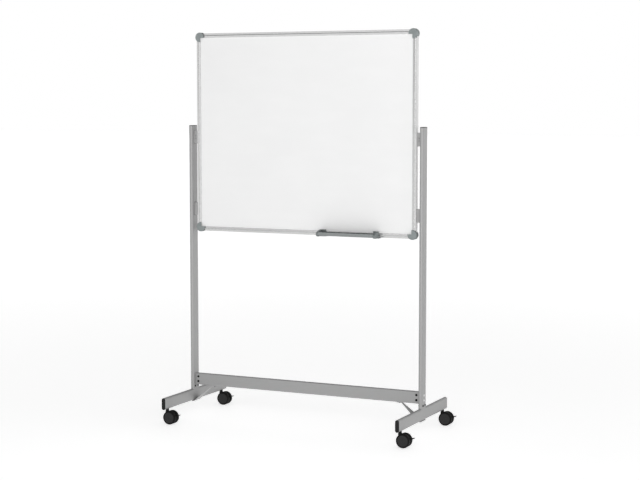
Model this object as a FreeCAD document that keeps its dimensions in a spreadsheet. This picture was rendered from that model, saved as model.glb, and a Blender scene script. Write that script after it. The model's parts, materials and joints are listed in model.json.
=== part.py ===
import FreeCAD, Part

import math
import os

import Sketcher
from FreeCAD import Placement, Rotation, Vector

# Rolling whiteboard: a landscape board held between two uprights, each standing on a foot with two castors.
# Frame: origin on the floor at the middle of the overall box, +X to the right of a person facing the board,
# the writing side faces -Y, +Z up. Millimetres. Every sub-part is built about the uprights' own middle, which
# is left of the origin because all four castors trail to the right.

SIZES = {
    "board_width": 1200,
    "board_height": 1000,
    "board_bottom": 954,
    "board_front": 16,
    "rail_face": 22,
    "rail_depth": 24,
    "rail_wall": 1.8,
    "rail_bevel": 8,
    "rail_bevel_drop": 4.5,
    "rail_edge_round": 4,
    "panel_thickness": 12,
    "panel_grip": 9,
    "sheet_thickness": 0.6,
    "groove_play": 0.1,
    "corner_radius": 24,
    "corner_centre": 20,
    "corner_proud": 2.5,
    "corner_screw_offset": 34,
    "corner_screw_side": 8,
    "side_gap": 20,
    "tube_wide": 60,
    "tube_thin": 20,
    "tube_wall": 1.5,
    "upright_top": 1491,
    "foot_length": 640,
    "foot_bottom": 75,
    "plug_lip": 3,
    "plug_depth": 22,
    "plug_play": 0.15,
    "crossbar_bottom": 155.5,
    "crossbar_round": 4,
    "insert_length": 40,
    "spigot_height": 38,
    "saddle_depth": 6,
    "joint_bolt_radius": 3,
    "joint_head_radius": 6,
    "joint_head_height": 3,
    "joint_bolt_pitch": 25,
    "front_bolt_inset": 16,
    "foot_bolt_pitch": 28,
    "foot_bolt_rise": 13.5,
    "column_bolt_pitch": 42,
    "column_bolt_grip": 20,
    "brace_thickness": 3,
    "brace_top_width": 12,
    "brace_foot_width": 60,
    "brace_flange_start": 500,
    "brace_bend": 526,
    "bracket_height": 65,
    "bracket_depth": 16,
    "bracket_high": 1431,
    "bracket_low": 1066,
    "stud_radius": 2.5,
    "stud_reach": 8,
    "stud_offset": 22,
    "set_screw_offset": 6.5,
    "set_screw_recess": 1,
    "tray_centre": 252,
    "tray_length": 312,
    "tray_reach": 71,
    "tray_floor": 957,
    "tray_wall": 2,
    "tray_lip_top": 975,
    "tray_round": 7,
    "tray_end_thickness": 10,
    "tray_end_top": 985,
    "tray_end_bottom": 953,
    "hook_width": 30,
    "hook_thickness": 2.8,
    "hook_play": 0.6,
    "hook_rise": 12,
    "castor_inset": 40,
    "castor_trail": 21,
    "wheel_radius": 34,
    "wheel_width": 18.5,
    "wheel_round": 4,
    "wheel_gap": 0.5,
    "wheel_wall": 1.7,
    "dish_outer": 27,
    "dish_hub": 8,
    "dish_depth": 1,
    "housing_radius": 31,
    "housing_width": 9,
    "neck_radius": 8.5,
    "neck_bottom": 66.5,
    "neck_top": 72,
    "socket_radius": 7,
    "socket_flange_radius": 8.5,
    "socket_flange": 2.5,
    "socket_height": 40,
    "stem_radius": 4,
    "stem_tail_radius": 2,
    "stem_tail_bottom": 48,
    "axle_radius": 4,
    "running_play": 0.05,
    "lever_pivot_out": 46,
    "lever_pivot_up": 46,
    "lever_pin_radius": 2,
    "lever_thickness": 3.8,
    "lever_slot": 4.2,
    "arm_reach": 15,
    "pedal_start": 14.5,
    "pedal_reach": 27.5,
    "pedal_width": 20,
}

doc = FreeCAD.newDocument("rolling_whiteboard")
sub_parts = []
across = {}


def make_sheet():
    """Driving dimensions, one row each."""
    table = doc.addObject("Spreadsheet::Sheet", "Sizes")
    for row, (name, number) in enumerate(SIZES.items(), 1):
        table.set(f"A{row}", name)
        table.set(f"B{row}", str(number))
        table.setAlias(f"B{row}", name)
    doc.recompute()
    return table


sheet = make_sheet()


def full(expression):
    """Write sheet names out in full, so that expressions can be written with the bare names."""
    words = []
    for word in expression.replace("(", "( ").replace(")", " )").split():
        words.append("Sizes." + word if word in SIZES else word)
    return " ".join(words)


def number(expression):
    """The value of an expression of sheet names, in millimetres."""
    value = sheet.evalExpression(full(str(expression)))
    return float(getattr(value, "Value", value))


def bind(item, prop, expression):
    """Tie a property to an expression of sheet names."""
    item.setExpression(prop, full(str(expression)))


def place(item, base=("0", "0", "0"), axis=(0, 0, 1), turn=0):
    """Turn an object about its own origin, then move it to a bound position."""
    item.Placement = Placement(Vector(), Rotation(Vector(*axis), turn))
    for letter, expression in zip("xyz", base):
        if str(expression) != "0":
            bind(item, f".Placement.Base.{letter}", expression)
    across[item.Name] = base[0]
    return item


def keep(item, label):
    """Name a finished sub-part, move it from the uprights' middle to the frame and list it for writing."""
    item.Label = label
    bind(item, ".Placement.Base.x", f"{across.get(item.Name, '0')} - ( {MIDDLE_OFFSET} )")
    sub_parts.append(item)
    return item


# Common expressions -----------------------------------------------------------------------------------------

UPRIGHT_X = "board_width / 2 + side_gap + tube_thin / 2"
UPRIGHT_INNER_X = "board_width / 2 + side_gap"
FOOT_TOP = "foot_bottom + tube_wide"
BOARD_TOP = "board_bottom + board_height"
BOARD_MIDDLE = "board_bottom + board_height / 2"
BOARD_BACK = "rail_depth - board_front"
PANEL_BACK = "rail_depth - board_front - 5"
PANEL_FRONT = "rail_depth - board_front - 5 - panel_thickness"
RAIL_END_GAP = "corner_centre + 4"
CROSSBAR_MIDDLE = "crossbar_bottom + tube_wide / 2"
FOOT_BOLT_Z = "foot_bottom + tube_wide + foot_bolt_rise"
CASTOR_Y = "foot_length / 2 - castor_inset"
MIDDLE_OFFSET = "( lever_pivot_out + pedal_reach - tube_thin / 2 - joint_head_height ) / 2"

ALONG_X = ((0, 1, 0), 90)
ALONG_Y = ((1, 0, 0), -90)
ALONG_Z = ((0, 0, 1), 0)
AGAINST_X = ((0, 1, 0), -90)
AGAINST_Y = ((1, 0, 0), 90)


# Sketch helpers ---------------------------------------------------------------------------------------------

def new_body(name):
    return doc.addObject("PartDesign::Body", name)


def new_sketch(body, role, offset="0"):
    """A sketch on one of the body's own origin planes, moved along the plane's normal."""
    plane = [item for item in body.Origin.OriginFeatures if item.Role == role][0]
    sketch = body.newObject("Sketcher::SketchObject", f"{body.Name}_sketch")
    sketch.AttachmentSupport = [(plane, "")]
    sketch.MapMode = "FlatFace"
    if str(offset) != "0":
        bind(sketch, ".AttachmentOffset.Base.z", offset)
    return sketch


def fix(sketch, kind, where, expression):
    """Add a dimension constraint tied to an expression."""
    index = sketch.addConstraint(Sketcher.Constraint(kind, *where, number(expression)))
    sketch.setExpression(f"Constraints[{index}]", full(str(expression)))


def polygon(sketch, points):
    """A closed outline of straight lines; each corner is a pair of expressions."""
    spots = [Vector(number(u), number(v), 0) for u, v in points]
    first = sketch.GeometryCount
    count = len(points)
    for index in range(count):
        sketch.addGeometry(Part.LineSegment(spots[index], spots[(index + 1) % count]), False)
    for index in range(count):
        follower = first + (index + 1) % count
        sketch.addConstraint(Sketcher.Constraint("Coincident", first + index, 2, follower, 1))
    for index, (u, v) in enumerate(points):
        fix(sketch, "DistanceX", (-1, 1, first + index, 1), u)
        fix(sketch, "DistanceY", (-1, 1, first + index, 1), v)


def rectangle(sketch, low_u, low_v, high_u, high_v):
    polygon(sketch, [(low_u, low_v), (high_u, low_v), (high_u, high_v), (low_u, high_v)])


def circle(sketch, radius, u="0", v="0"):
    spot = Vector(number(u), number(v), 0)
    index = sketch.addGeometry(Part.Circle(spot, Vector(0, 0, 1), number(radius)), False)
    fix(sketch, "Radius", (index,), radius)
    fix(sketch, "DistanceX", (-1, 1, index, 3), u)
    fix(sketch, "DistanceY", (-1, 1, index, 3), v)


def slot(sketch, long, thin):
    """A flat-oval outline about the sketch's origin, long along the sketch's vertical direction."""
    radius = f"( {thin} ) / 2"
    reach = f"( {long} ) / 2 - ( {thin} ) / 2"
    half_thin = number(radius)
    half_flat = number(reach)
    up = Vector(0, half_flat, 0)
    side = Vector(half_thin, 0, 0)
    normal = Vector(0, 0, 1)
    top = sketch.addGeometry(Part.ArcOfCircle(Part.Circle(up, normal, half_thin), 0, math.pi), False)
    left = sketch.addGeometry(Part.LineSegment(up - side, -up - side), False)
    bottom = sketch.addGeometry(
        Part.ArcOfCircle(Part.Circle(-up, normal, half_thin), math.pi, 2 * math.pi), False)
    right = sketch.addGeometry(Part.LineSegment(side - up, side + up), False)
    for one, one_end, two, two_end in ((top, 2, left, 1), (left, 2, bottom, 1), (bottom, 2, right, 1),
                                       (right, 2, top, 1)):
        sketch.addConstraint(Sketcher.Constraint("Tangent", one, one_end, two, two_end))
    fix(sketch, "Radius", (top,), radius)
    sketch.addConstraint(Sketcher.Constraint("PointOnObject", top, 3, -2))
    sketch.addConstraint(Sketcher.Constraint("PointOnObject", bottom, 3, -2))
    fix(sketch, "DistanceY", (-1, 1, top, 3), reach)
    fix(sketch, "DistanceY", (bottom, 3, -1, 1), reach)


def pad(body, sketch, length, middle=False, backward=False):
    feature = body.newObject("PartDesign::Pad", f"{body.Name}_pad")
    feature.Profile = sketch
    bind(feature, "Length", length)
    feature.Midplane = middle
    feature.Reversed = backward
    doc.recompute()
    return feature


def pocket(body, sketch, length, middle=False, backward=False):
    """Cut a sketch out of the body, and make sure that it cut something."""
    before = body.Shape.Volume
    feature = body.newObject("PartDesign::Pocket", f"{body.Name}_pocket")
    feature.Profile = sketch
    bind(feature, "Length", length)
    feature.Midplane = middle
    feature.Reversed = backward
    doc.recompute()
    if body.Shape.Volume > before - 0.01:
        raise ValueError(f"{feature.Name} cut nothing")
    return feature


def round_edges(body, feature, radius, wanted):
    """Fillet the edges of a feature that a test picks out."""
    names = [f"Edge{n}" for n, edge in enumerate(feature.Shape.Edges, 1) if wanted(edge)]
    fillet = body.newObject("PartDesign::Fillet", f"{body.Name}_round")
    fillet.Base = (feature, names)
    bind(fillet, "Radius", radius)
    doc.recompute()
    return fillet


# Primitive helpers ------------------------------------------------------------------------------------------

def box(name, low, extent):
    """A block from its low corner and its three extents."""
    item = doc.addObject("Part::Box", name)
    for prop, expression in zip(("Length", "Width", "Height"), extent):
        bind(item, prop, expression)
    return place(item, low)


def rod(name, base, radius, length, direction=ALONG_Z):
    """A cylinder that starts at base and runs along a positive axis."""
    item = doc.addObject("Part::Cylinder", name)
    bind(item, "Radius", radius)
    bind(item, "Height", length)
    return place(item, base, *direction)


def fuse(name, shapes):
    item = doc.addObject("Part::MultiFuse", name)
    item.Shapes = shapes
    return item


def cut(name, base, tools):
    tool = tools[0] if len(tools) == 1 else fuse(name + "_tools", tools)
    item = doc.addObject("Part::Cut", name)
    item.Base = base
    item.Tool = tool
    return item


def group(label, solids):
    """Identical fasteners as separate solids of one node."""
    item = doc.addObject("Part::Compound", label)
    item.Links = solids
    return keep(item, label)


def headed_pin(name, base, direction, head_radius, head_height, shank_radius, shank_length):
    """A round-headed screw: the seat under its head is at base, its shank runs along direction."""
    head = rod(name + "_head", ("0", "0", f"- ( {head_height} )"), head_radius, head_height)
    shank = rod(name + "_shank", ("0", "0", "0"), shank_radius, shank_length)
    return place(fuse(name, [head, shank]), base, *direction)


def joint_bolt(name, base, direction, length):
    """A round-headed bolt of the stand's common size."""
    return headed_pin(name, base, direction, "joint_head_radius", "joint_head_height",
                      "joint_bolt_radius", length)


# Stand ------------------------------------------------------------------------------------------------------

def oval_tube(name, role, length, middle):
    """A hollow flat-oval tube, extruded from one of its origin planes."""
    body = new_body(name)
    outline = new_sketch(body, role)
    slot(outline, "tube_wide", "tube_thin")
    slot(outline, "tube_wide - 2 * tube_wall", "tube_thin - 2 * tube_wall")
    pad(body, outline, length, middle)
    return body


def upright(label, side, turn):
    """Upright tube: coped over the foot's round top, drilled for the joint, crossbar and board screws."""
    bottom = f"{FOOT_TOP} - saddle_depth"
    body = oval_tube(f"{label}_tube", "XY_Plane", f"upright_top - plug_lip - ( {bottom} )", False)
    blank = cut(
        f"{label}_coped",
        body,
        [rod(f"{label}_saddle", ("0", "- tube_wide", "saddle_depth - tube_thin / 2"), "tube_thin / 2",
             "2 * tube_wide", ALONG_Y)],
    )
    cutters = []
    for sign in (-1, 1):
        spot = f"{sign} * foot_bolt_pitch / 2"
        cutters.append(rod(f"{label}_joint_hole", ("- tube_thin", spot, "saddle_depth + foot_bolt_rise"),
                           "joint_bolt_radius", "2 * tube_thin", ALONG_X))
        height = f"{CROSSBAR_MIDDLE} + {sign} * joint_bolt_pitch / 2 - ( {bottom} )"
        cutters.append(rod(f"{label}_bar_hole", ("- tube_thin", "0", height),
                           "joint_bolt_radius", "2 * tube_thin", ALONG_X))
        for level in ("bracket_high", "bracket_low"):
            height = f"{level} + {sign} * stud_offset - ( {bottom} )"
            cutters.append(rod(f"{label}_stud_hole", ("- tube_thin / 2 - 5", "0", height),
                               "stud_radius", "10", ALONG_X))
    item = cut(label, blank, cutters)
    place(item, (f"{side} * ( {UPRIGHT_X} )", "0", bottom), (0, 0, 1), turn)
    return keep(item, label)


def plug(name):
    """Push-in end cap of a tube: a lip of the tube's own outline and a plug that fits its bore."""
    body = new_body(name)
    lip = new_sketch(body, "XY_Plane")
    slot(lip, "tube_wide", "tube_thin")
    top = pad(body, lip, "plug_lip")
    round_edges(body, top, "plug_lip / 2", lambda edge: edge.CenterOfMass.z > number("plug_lip") - 0.01)
    stem = new_sketch(body, "XY_Plane")
    inset = "( 2 * tube_wall + 2 * plug_play )"
    slot(stem, f"tube_wide - {inset}", f"tube_thin - {inset}")
    pad(body, stem, "plug_depth", backward=True)
    return body


def tube_end_caps():
    """The push-in caps on the uprights' tops and on both ends of each foot, lips facing outwards."""
    caps = []
    for side in (-1, 1):
        across = f"{side} * ( {UPRIGHT_X} )"
        caps.append(place(plug(f"upright_cap_{len(caps) + 1}"), (across, "0", "upright_top - plug_lip")))
        for end in (-1, 1):
            spot = (across, f"{end} * ( foot_length / 2 - plug_lip )", "foot_bottom + tube_wide / 2")
            caps.append(place(plug(f"foot_cap_{len(caps) + 1}"), spot, (1, 0, 0), -90 * end))
    return group("tube_end_caps", caps)


def foot(label, side):
    """Foot tube lying along Y, drilled for the castor sockets and for the column bolts."""
    body = oval_tube(f"{label}_tube", "XZ_Plane", "foot_length - 2 * plug_lip", True)
    cutters = []
    for sign in (-1, 1):
        cutters.append(rod(f"{label}_socket_hole", ("0", f"{sign} * ( {CASTOR_Y} )", "- tube_wide / 2 - 2"),
                           "socket_radius", "tube_wide / 2"))
        cutters.append(rod(f"{label}_column_hole", ("0", f"{sign} * column_bolt_pitch / 2", "- tube_wide"),
                           "joint_bolt_radius", "2 * tube_wide"))
    item = cut(label, body, cutters)
    place(item, (f"{side} * ( {UPRIGHT_X} )", "0", "foot_bottom + tube_wide / 2"))
    return keep(item, label)


def foot_spigot(label, side):
    """Solid block in the upright's lower end, saddled on the foot and drilled for its bolts."""
    body = new_body(f"{label}_blank")
    outline = new_sketch(body, "XY_Plane")
    inset = "( 2 * tube_wall + 2 * plug_play )"
    slot(outline, f"tube_wide - {inset}", f"tube_thin - {inset}")
    pad(body, outline, "spigot_height")
    cutters = [rod(f"{label}_saddle", ("0", "- tube_wide", "saddle_depth - tube_thin / 2"), "tube_thin / 2",
                   "2 * tube_wide", ALONG_Y)]
    for sign in (-1, 1):
        cutters.append(rod(f"{label}_cross", ("- tube_thin", f"{sign} * foot_bolt_pitch / 2",
                                              "saddle_depth + foot_bolt_rise"),
                           "joint_bolt_radius", "2 * tube_thin", ALONG_X))
        cutters.append(rod(f"{label}_column", ("0", f"{sign} * column_bolt_pitch / 2", "0"),
                           "joint_bolt_radius", "saddle_depth + column_bolt_grip"))
    item = cut(label, body, cutters)
    place(item, (f"{side} * ( {UPRIGHT_X} )", "0", f"{FOOT_TOP} - saddle_depth"))
    return keep(item, label)


BRACE_SCREW_X = "( brace_flange_start + brace_bend ) / 2"


def is_lengthwise(edge):
    """True for a straight edge that runs along X."""
    start, end = edge.Vertexes[0], edge.Vertexes[-1]
    return abs(start.X - end.X) > 1 and abs(start.Z - end.Z) < 0.01


def crossbar():
    """Hollow box tube between the uprights, drilled at its ends and for the braces."""
    body = new_body("crossbar_tube")
    outline = new_sketch(body, "YZ_Plane")
    rectangle(outline, "- tube_thin / 2", "- tube_wide / 2", "tube_thin / 2", "tube_wide / 2")
    solid = pad(body, outline, f"2 * ( {UPRIGHT_INNER_X} )", middle=True)
    round_edges(body, solid, "crossbar_round", is_lengthwise)
    bore = new_sketch(body, "YZ_Plane")
    rectangle(bore, "tube_wall - tube_thin / 2", "tube_wall - tube_wide / 2",
              "tube_thin / 2 - tube_wall", "tube_wide / 2 - tube_wall")
    pocket(body, bore, f"2 * ( {UPRIGHT_INNER_X} ) + 2", middle=True)
    cutters = []
    for side in (-1, 1):
        across = f"{side} * ( {UPRIGHT_INNER_X} - front_bolt_inset )"
        for sign in (-1, 1):
            spot = (across, "- tube_thin", f"{sign} * joint_bolt_pitch / 2")
            cutters.append(rod("crossbar_front_hole", spot, "joint_bolt_radius", "tube_thin", ALONG_Y))
        cutters.append(rod("crossbar_brace_hole", (f"{side} * ( {BRACE_SCREW_X} )", "0", "- tube_wide"),
                           "stud_radius", "tube_wide"))
    item = cut("crossbar", body, cutters)
    place(item, ("0", "0", CROSSBAR_MIDDLE))
    return keep(item, "crossbar")


def crossbar_insert(label, side):
    """Solid block inside one end of the crossbar, threaded for the screws from front and side."""
    inset = "tube_wall + plug_play"
    low = ("- insert_length / 2", f"{inset} - tube_thin / 2", f"{inset} - tube_wide / 2")
    extent = ("insert_length", f"tube_thin - 2 * ( {inset} )", f"tube_wide - 2 * ( {inset} )")
    block = box(f"{label}_block", low, extent)
    cutters = []
    for sign in (-1, 1):
        height = f"{sign} * joint_bolt_pitch / 2"
        across = f"{side} * ( insert_length / 2 - front_bolt_inset )"
        cutters.append(rod(f"{label}_front", (across, "- tube_thin", height),
                           "joint_bolt_radius", "tube_thin", ALONG_Y))
        start = "insert_length / 2 - 9" if side > 0 else "- insert_length / 2"
        cutters.append(rod(f"{label}_side", (start, "0", height), "joint_bolt_radius", "9", ALONG_X))
    item = cut(label, block, cutters)
    place(item, (f"{side} * ( {UPRIGHT_INNER_X} - insert_length / 2 )", "0", CROSSBAR_MIDDLE))
    return keep(item, label)


def crossbar_bolts():
    """Black bolts through the crossbar's front wall into the inserts."""
    bolts = []
    for side in (-1, 1):
        for sign in (-1, 1):
            spot = (f"{side} * ( {UPRIGHT_INNER_X} - front_bolt_inset )", "- tube_thin / 2",
                    f"{CROSSBAR_MIDDLE} + {sign} * joint_bolt_pitch / 2")
            bolts.append(joint_bolt("crossbar_bolt", spot, ALONG_Y, "tube_thin / 2"))
    return group("crossbar_bolts", bolts)


def crossbar_screws():
    """Bright screws through each upright into the end of the crossbar."""
    screws = []
    for side, direction in ((-1, ALONG_X), (1, AGAINST_X)):
        for sign in (-1, 1):
            spot = (f"{side} * ( {UPRIGHT_X} + tube_thin / 2 )", "0",
                    f"{CROSSBAR_MIDDLE} + {sign} * joint_bolt_pitch / 2")
            screws.append(headed_pin("crossbar_screw", spot, direction, "joint_head_radius - 0.5", "1",
                                     "joint_bolt_radius", "tube_thin + 9"))
    return group("crossbar_screws", screws)


def foot_bolts():
    """Bolts across each upright's lower end, heads outside."""
    bolts = []
    for side, direction in ((-1, ALONG_X), (1, AGAINST_X)):
        for sign in (-1, 1):
            spot = (f"{side} * ( {UPRIGHT_X} + tube_thin / 2 )", f"{sign} * foot_bolt_pitch / 2", FOOT_BOLT_Z)
            bolts.append(joint_bolt("foot_bolt", spot, direction, "tube_thin + joint_head_height - 1"))
    return group("foot_bolts", bolts)


def foot_nuts():
    """Dome nuts of the foot bolts, on each upright's inner face."""
    nuts = []
    for side, direction in ((-1, ALONG_X), (1, AGAINST_X)):
        for sign in (-1, 1):
            spot = (f"{side} * ( {UPRIGHT_INNER_X} )", f"{sign} * foot_bolt_pitch / 2", FOOT_BOLT_Z)
            dome = rod("foot_nut_dome", ("0", "0", "0"), "joint_head_radius", "joint_head_height")
            thread = rod("foot_nut_thread", ("0", "0", "0"), "joint_bolt_radius", "joint_head_height - 1")
            nuts.append(place(cut("foot_nut", dome, [thread]), spot, *direction))
    return group("foot_nuts", nuts)


def column_bolts():
    """Long bolts from under the brace flanges, up through each foot into its spigot."""
    bolts = []
    for side in (-1, 1):
        for sign in (-1, 1):
            spot = (f"{side} * ( {UPRIGHT_X} )", f"{sign} * column_bolt_pitch / 2",
                    "foot_bottom - brace_thickness")
            length = "brace_thickness + tube_wide + column_bolt_grip"
            bolts.append(joint_bolt("column_bolt", spot, ALONG_Z, length))
    return group("column_bolts", bolts)


def brace_screws():
    """Screws that hold the braces' upper flanges to the crossbar."""
    screws = []
    for side in (-1, 1):
        spot = (f"{side} * ( {BRACE_SCREW_X} )", "0", "crossbar_bottom - brace_thickness")
        screws.append(headed_pin("brace_screw", spot, ALONG_Z, "stud_radius + 2", "2", "stud_radius",
                                 "brace_thickness + 4"))
    return group("brace_screws", screws)


def brace(label, side):
    """Bent steel plate from the crossbar's underside to the foot's underside, wider at the foot."""
    body = new_body(f"{label}_plate")
    outline = new_sketch(body, "XZ_Plane")
    lower_bend = f"{UPRIGHT_INNER_X} - 1"
    end = f"{UPRIGHT_X} + 8"
    slant = math.atan2(number("crossbar_bottom - foot_bottom"), number(f"{lower_bend} - brace_bend"))
    shift = f"brace_thickness * {math.tan(slant / 2):.4f}"
    polygon(outline, [
        ("brace_flange_start", "crossbar_bottom"),
        ("brace_flange_start", "crossbar_bottom - brace_thickness"),
        (f"brace_bend - {shift}", "crossbar_bottom - brace_thickness"),
        (f"{lower_bend} - {shift}", "foot_bottom - brace_thickness"),
        (end, "foot_bottom - brace_thickness"),
        (end, "foot_bottom"),
        (lower_bend, "foot_bottom"),
        ("brace_bend", "crossbar_bottom"),
    ])
    pad(body, outline, "brace_foot_width", middle=True)
    trim = new_sketch(body, "XY_Plane")
    for sign in (-1, 1):
        polygon(trim, [
            ("brace_flange_start - 5", f"{sign} * brace_top_width / 2"),
            ("brace_bend", f"{sign} * brace_top_width / 2"),
            (lower_bend, f"{sign} * brace_foot_width / 2"),
            (lower_bend, f"{sign} * ( brace_foot_width / 2 + 5 )"),
            ("brace_flange_start - 5", f"{sign} * ( brace_foot_width / 2 + 5 )"),
        ])
    pocket(body, trim, "crossbar_bottom + 5", backward=True)
    cutters = [rod(f"{label}_top_hole", (BRACE_SCREW_X, "0", "crossbar_bottom - 10"), "stud_radius", "20")]
    for sign in (-1, 1):
        spot = (UPRIGHT_X, f"{sign} * column_bolt_pitch / 2", "foot_bottom - 10")
        cutters.append(rod(f"{label}_foot_hole", spot, "joint_bolt_radius", "20"))
    item = cut(label, body, cutters)
    place(item, turn=0 if side > 0 else 180)
    return keep(item, label)


# Board ------------------------------------------------------------------------------------------------------

def board_layer(label, front, thickness):
    """One layer of the panel, gripped by the rails on all four sides."""
    edge = "rail_face - panel_grip"
    item = box(label, (f"{edge} - board_width / 2", front, f"board_bottom + {edge}"),
               (f"board_width - 2 * ( {edge} )", thickness, f"board_height - 2 * ( {edge} )"))
    return keep(item, label)


def rail(label, length, studs, base, turn):
    """Frame extrusion, outer edge on its own XY plane: bevelled front, panel groove, hollow chamber."""
    body = new_body(f"{label}_extrusion")
    outline = new_sketch(body, "YZ_Plane")
    front = "- board_front"
    back = BOARD_BACK
    groove_front = f"{PANEL_FRONT} - groove_play / 2"
    groove_back = f"{PANEL_BACK} + groove_play / 2"
    groove_floor = "rail_face - panel_grip - groove_play"
    polygon(outline, [
        (f"{back}", "0"),
        (f"{back}", "rail_face"),
        (groove_back, "rail_face"),
        (groove_back, groove_floor),
        (groove_front, groove_floor),
        (groove_front, "rail_face"),
        (f"{front} + rail_bevel_drop", "rail_face"),
        (front, "rail_face - rail_bevel"),
        (front, "rail_edge_round"),
        (f"{front} + rail_edge_round / 3", "rail_edge_round / 3"),
        (f"{front} + rail_edge_round", "0"),
    ])
    polygon(outline, [
        (f"{back} - rail_wall", "rail_wall"),
        (f"{front} + rail_edge_round", "rail_wall"),
        (f"{front} + rail_wall", "rail_edge_round"),
        (f"{front} + rail_wall", f"{groove_floor} - rail_wall"),
        (f"{back} - rail_wall", f"{groove_floor} - rail_wall"),
    ])
    reach = f"( {length} ) / 2 - ( {RAIL_END_GAP} )"
    pad(body, outline, f"2 * ( {reach} )", middle=True)
    screw_at = f"( {length} ) / 2 - corner_screw_offset"
    cutters = []
    for sign in (-1, 1):
        spot = (f"{sign} * ( {screw_at} )", f"{back} - 4", "corner_screw_side")
        cutters.append(rod(f"{label}_screw_hole", spot, "stud_radius - 1", "8", ALONG_Y))
    for stud in studs:
        cutters.append(rod(f"{label}_stud_hole", (stud, "0", "- 5"), "stud_radius", "stud_reach + 5"))
    item = cut(label, body, cutters)
    place(item, base, (0, 1, 0), turn)
    return keep(item, label)


def side_rail_studs(sign):
    """Places of the bracket studs along a side rail, measured from the board's middle."""
    return [f"{sign} * ( {level} + {offset} * stud_offset - ( {BOARD_MIDDLE} ) )"
            for level in ("bracket_high", "bracket_low") for offset in (-1, 1)]


def corner_cap(label, base, turn):
    """Rounded corner of the frame: a disc with a notch for the panel and pockets for the two rails."""
    body = new_body(f"{label}_moulding")
    outline = new_sketch(body, "XZ_Plane", "board_front + corner_proud")
    circle(outline, "corner_radius", "corner_centre", "corner_centre")
    disc = pad(body, outline, "rail_depth + 2 * corner_proud", backward=True)
    round_edges(body, disc, "corner_proud", lambda edge: len(edge.Vertexes) == 1)
    notch = new_sketch(body, "XZ_Plane", "board_front + corner_proud + 5")
    rectangle(notch, "rail_face + 1", "rail_face + 1", "3 * rail_face", "3 * rail_face")
    pocket(body, notch, "rail_depth + 2 * corner_proud + 10")
    rails = new_sketch(body, "XZ_Plane", "board_front")
    end = RAIL_END_GAP
    groove = "rail_face - panel_grip - groove_play"
    polygon(rails, [
        (end, "0"),
        ("3 * rail_face", "0"),
        ("3 * rail_face", "3 * rail_face"),
        ("0", "3 * rail_face"),
        ("0", end),
        (groove, end),
        (groove, groove),
        (end, groove),
    ])
    pocket(body, rails, "rail_depth")
    hole = new_sketch(body, "XZ_Plane", f"- ( {BOARD_BACK} ) - corner_proud - 1")
    circle(hole, "stud_radius - 1", "corner_screw_offset", "corner_screw_side")
    circle(hole, "stud_radius - 1", "corner_screw_side", "corner_screw_offset")
    pocket(body, hole, "corner_proud + 3", backward=True)
    place(body, base, (0, 1, 0), turn)
    return keep(body, label)


CORNERS = {
    "bottom_left": (-1, "board_bottom", 1, 0),
    "bottom_right": (1, "board_bottom", 1, -90),
    "top_right": (1, BOARD_TOP, -1, 180),
    "top_left": (-1, BOARD_TOP, -1, 90),
}


def corner_screws():
    """Two small screws in the back of each corner cap, one into each rail."""
    screws = []
    for side, level, up, turn in CORNERS.values():
        for along, across in (("corner_screw_offset", "corner_screw_side"),
                              ("corner_screw_side", "corner_screw_offset")):
            spot = (f"{side} * ( board_width / 2 - {along} )", f"{BOARD_BACK} + corner_proud",
                    f"{level} + {up} * {across}")
            screws.append(headed_pin("corner_screw", spot, AGAINST_Y, "stud_radius + 1", "1.5",
                                     "stud_radius - 1", "corner_proud + 3"))
    return group("corner_screws", screws)


BRACKETS = {
    "left_upper_bracket": (-1, "bracket_high", True),
    "left_lower_bracket": (-1, "bracket_low", False),
    "right_upper_bracket": (1, "bracket_high", True),
    "right_lower_bracket": (1, "bracket_low", False),
}


def board_bracket(label, side, level, locked):
    """Rounded block between the board's side and the upright; upper ones hold two set screws in front."""
    body = new_body(f"{label}_block")
    outline = new_sketch(body, "YZ_Plane")
    half_depth = "bracket_depth / 2"
    half_height = "bracket_height / 2"
    rectangle(outline, f"- {half_depth}", f"- {half_height}", half_depth, half_height)
    block = pad(body, outline, "side_gap", middle=True)
    round_edges(body, block, "2", is_lengthwise)
    cutters = [rod(f"{label}_stud_hole", ("- side_gap", "0", f"{sign} * stud_offset"),
                   "stud_radius", "2 * side_gap", ALONG_X) for sign in (-1, 1)]
    if locked:
        cutters += [rod(f"{label}_set_hole", ("0", "- bracket_depth", f"{sign} * set_screw_offset"),
                        "stud_radius", "bracket_depth", ALONG_Y) for sign in (-1, 1)]
    item = cut(label, body, cutters)
    place(item, (f"{side} * ( board_width / 2 + side_gap / 2 )", "0", level))
    return keep(item, label)


def bracket_studs():
    """Threaded studs from the side rails through the brackets into the uprights."""
    studs = []
    for side, level, locked in BRACKETS.values():
        for sign in (-1, 1):
            middle = f"{side} * ( board_width / 2 + side_gap / 2 )"
            spot = (f"{middle} - side_gap / 2 - stud_reach + 1", "0", f"{level} + {sign} * stud_offset")
            studs.append(rod("bracket_stud", spot, "stud_radius", "side_gap + 2 * stud_reach - 2", ALONG_X))
    return group("bracket_studs", studs)


def bracket_set_screws():
    """Grub screws sunk in the fronts of the upper brackets."""
    screws = []
    for side, level, locked in BRACKETS.values():
        for sign in (-1, 1) if locked else ():
            spot = (f"{side} * ( board_width / 2 + side_gap / 2 )", "set_screw_recess - bracket_depth / 2",
                    f"{level} + {sign} * set_screw_offset")
            screws.append(rod("bracket_set_screw", spot, "stud_radius",
                              "bracket_depth / 2 - set_screw_recess", ALONG_Y))
    return group("bracket_set_screws", screws)


# Pen tray ---------------------------------------------------------------------------------------------------

TRAY_BACK = "- board_front - hook_play - hook_thickness"


def is_low_front(edge):
    """True for the tray's lower front edge."""
    middle = edge.CenterOfMass
    return is_lengthwise(edge) and middle.y < number("1 - tray_reach") and middle.z < number("tray_floor + 1")


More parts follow.
